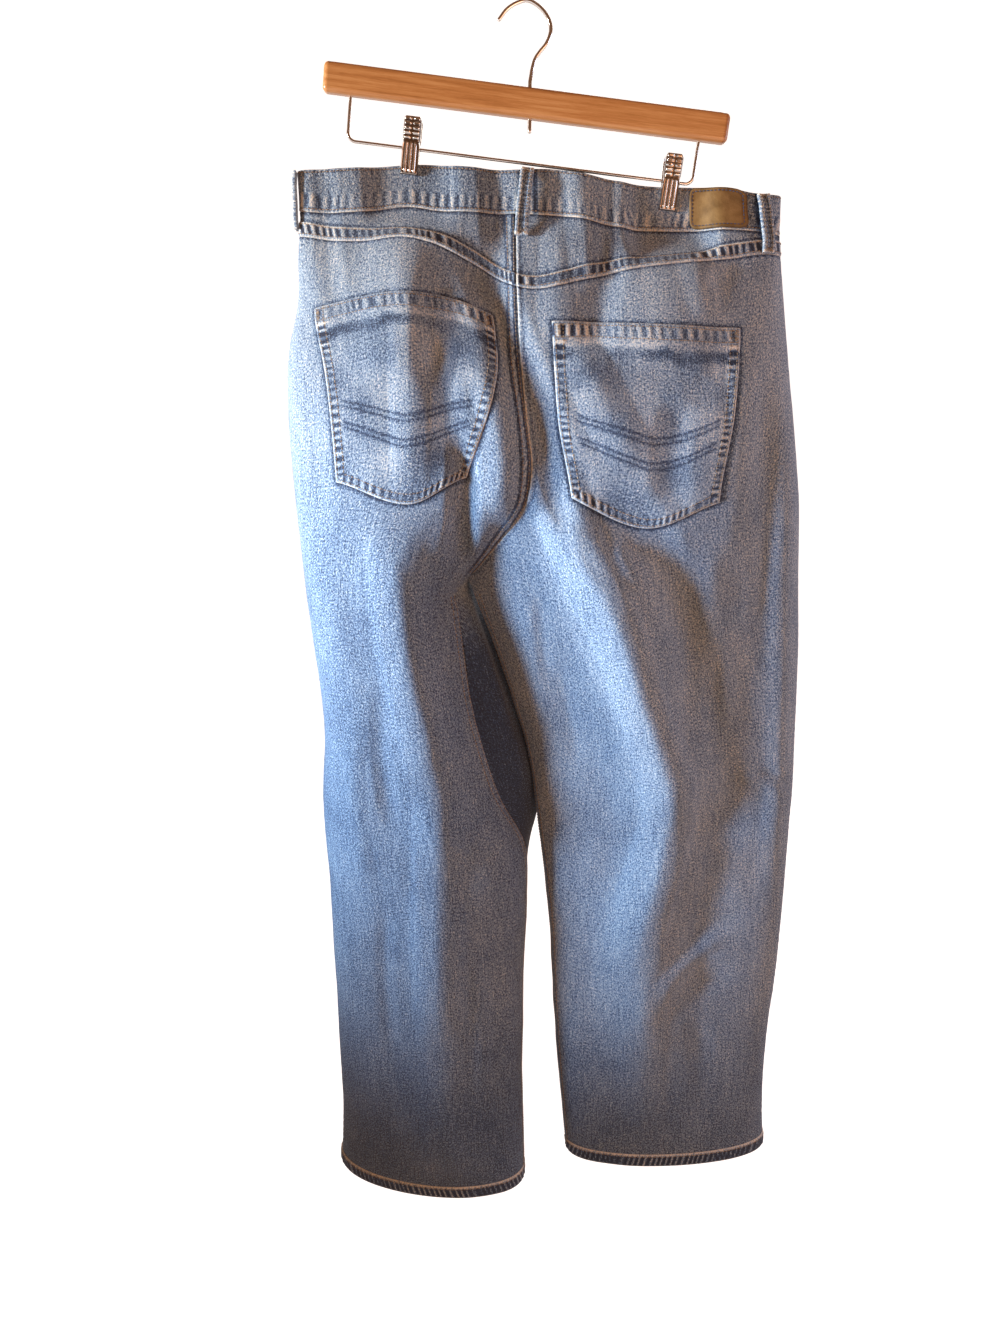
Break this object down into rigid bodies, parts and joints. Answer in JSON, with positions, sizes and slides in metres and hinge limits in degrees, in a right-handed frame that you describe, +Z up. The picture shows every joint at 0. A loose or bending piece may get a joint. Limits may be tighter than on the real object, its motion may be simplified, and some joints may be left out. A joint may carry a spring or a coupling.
{
  "type": "straight leg jeans on a clip hanger",
  "caption": "Light blue straight leg jeans seen from the back, hanging by sprung clips from a wooden trouser hanger with a chrome hook.",
  "frame": {"origin": "inner crest of the hanger's hook, where a nail or a rail carries it", "axes": "+Z up along the hanging jeans; -Y is the way the jeans' back and its pockets face; +X is the wearer's right"},
  "size_m": [0.4965, 0.165, 1.1569],
  "materials": {
    "denim": "light to mid blue cotton denim twill, washed, faded on the ridges and seams",
    "denim_doubled": "the same denim doubled and stitched, puckered and worn pale along its edges",
    "wood": "honey brown varnished wood, satin",
    "chrome": "bright chrome plate",
    "leather": "tan brown leather, matt, bare",
    "aged_brass": "aged brass, satin"
  },
  "bodies": {
    "root": {"back_panel_left": "denim", "back_panel_right": "denim", "back_pocket_left": "denim_doubled", "back_pocket_right": "denim_doubled", "back_yoke_left": "denim", "back_yoke_right": "denim", "belt_loop_centre_back": "denim_doubled", "belt_loop_left_front": "denim_doubled", "belt_loop_left_side": "denim_doubled", "belt_loop_right_front": "denim_doubled", "belt_loop_right_side": "denim_doubled", "clip_back_jaw_left": "chrome", "clip_back_jaw_right": "chrome", "clip_front_jaw_left": "chrome", "clip_front_jaw_right": "chrome", "clip_wire": "chrome", "fly_placket": "denim_doubled", "fly_zip": "aged_brass", "front_panel_left": "denim", "front_panel_right": "denim", "hanger_bar": "wood", "hanger_hook": "chrome", "leather_patch": "leather", "leg_hem_left": "denim_doubled", "leg_hem_right": "denim_doubled", "pocket_facing_left": "denim", "pocket_facing_right": "denim", "waist_button": "aged_brass", "waistband": "denim_doubled"}
  },
  "joints": []
}
